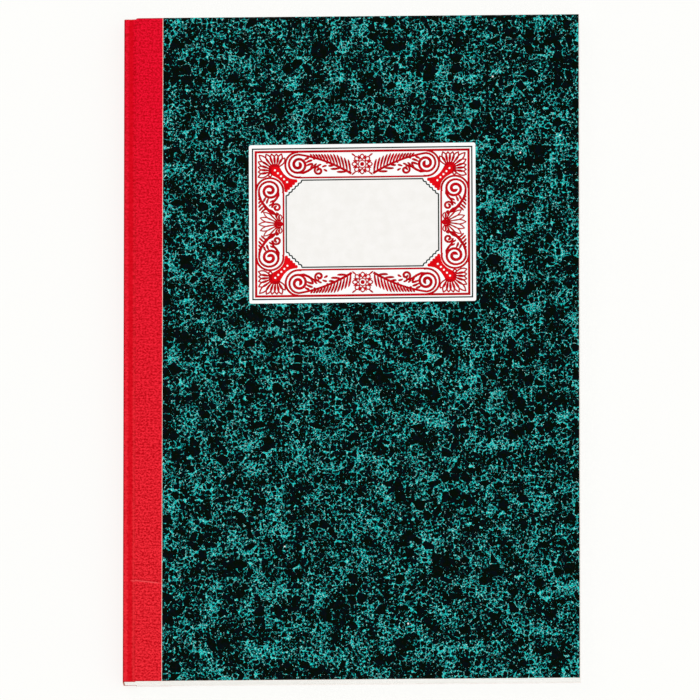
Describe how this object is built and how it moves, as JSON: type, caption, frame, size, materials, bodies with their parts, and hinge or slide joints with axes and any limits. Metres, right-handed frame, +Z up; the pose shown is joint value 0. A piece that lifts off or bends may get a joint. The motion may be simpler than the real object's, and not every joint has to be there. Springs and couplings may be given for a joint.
{
  "type": "ledger",
  "caption": "Quarter-bound account book, cut flush, with a cloth spine, marbled paper sides, a bordered front label and two hinged covers.",
  "frame": {"origin": "middle of the closed book's underside, where it lies on its back cover", "axes": "+X from the spine to the fore-edge, +Y from the tail to the head, +Z up through the front cover"},
  "size_m": [0.212, 0.315, 0.0126],
  "materials": {
    "leaves": "white ledger paper, cut edges",
    "thread": "linen sewing thread",
    "mull": "open cotton gauze, sized",
    "liner": "brown kraft paper",
    "book_cloth": "red woven book cloth, slight sheen",
    "endpaper": "white uncoated paper",
    "board": "grey binder's board",
    "marbled_paper": "green-black marbled paper, satin",
    "marbling_veins": "blue-green veins of the marbling",
    "label_paper": "white label paper",
    "panel_tint": "pale grey-white writing panel",
    "red_ink": "red print",
    "dark_ink": "green-black print"
  },
  "bodies": {
    "book_block": {"pages": "leaves", "sewing_thread": "thread", "spine_mull": "mull", "spine_liner": "liner", "spine_cloth": "book_cloth", "front_flyleaf": "endpaper", "back_flyleaf": "endpaper"},
    "front_cover": {"front_board": "board", "front_mull": "mull", "front_pastedown": "endpaper", "front_cloth": "book_cloth", "front_marbled_paper": "marbled_paper", "front_marbling": "marbling_veins", "label": "label_paper", "label_panel": "panel_tint", "label_ornament": "red_ink", "label_keylines": "dark_ink"},
    "back_cover": {"back_board": "board", "back_mull": "mull", "back_pastedown": "endpaper", "back_cloth": "book_cloth", "back_marbled_paper": "marbled_paper"}
  },
  "joints": [
    {"name": "front_cover_hinge", "type": "hinge", "parent": "book_block", "child": "front_cover", "pos_m": [-0.1053, 0, 0.01015], "axis": [0, -1, 0], "range_deg": [0, 179]},
    {"name": "back_cover_hinge", "type": "hinge", "parent": "book_block", "child": "back_cover", "pos_m": [-0.1053, 0, 0.00235], "axis": [0, 1, 0], "range_deg": [0, 179]}
  ]
}
